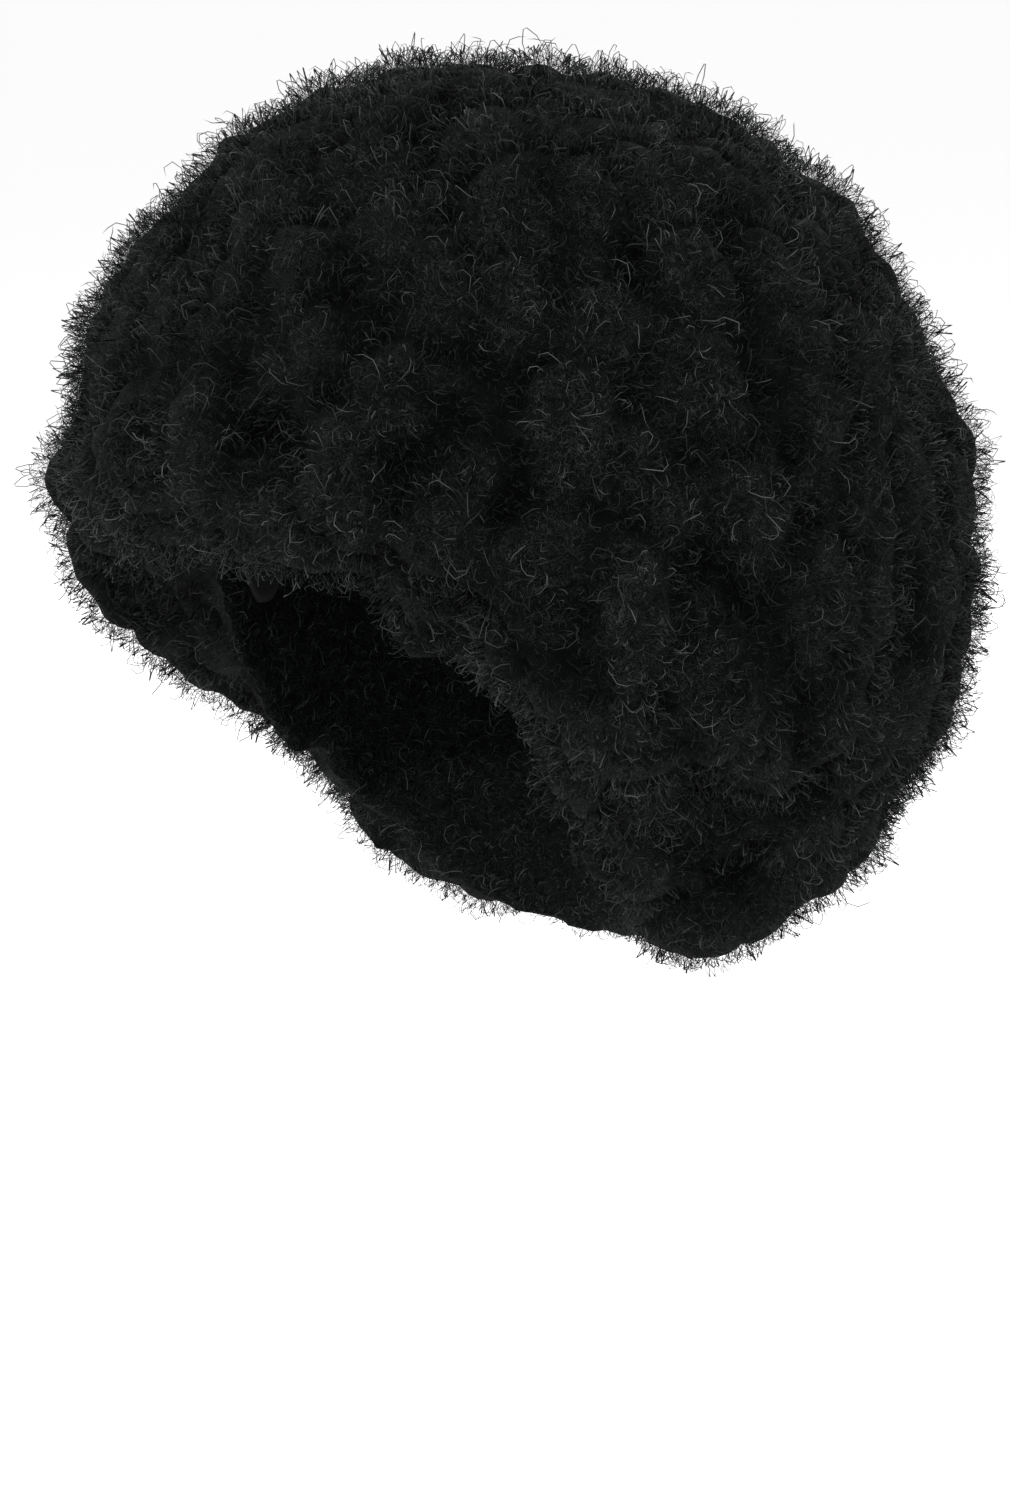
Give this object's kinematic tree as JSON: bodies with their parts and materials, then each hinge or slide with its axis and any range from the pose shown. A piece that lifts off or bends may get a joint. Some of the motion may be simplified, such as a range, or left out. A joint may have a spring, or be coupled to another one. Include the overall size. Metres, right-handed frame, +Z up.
{
  "type": "afro wig",
  "caption": "Large round afro wig of tight black curls in rows on a stretch cap, open at the face and neck, worn pulled over a head.",
  "frame": {"origin": "middle of the wearer's head at its widest level, inside the cap, where the head sits", "axes": "+Z up, the wearer faces -Y, the wearer's left is +X"},
  "size_m": [0.3499, 0.3633, 0.3557],
  "materials": {
    "hair": "frizzy synthetic curls, slight sheen",
    "cap_net": "matt stretch net"
  },
  "bodies": {
    "root": {"cap": "cap_net", "crown_row": "hair", "upper_row": "hair", "brow_row": "hair", "ear_row": "hair", "nape_row": "hair"}
  },
  "joints": []
}
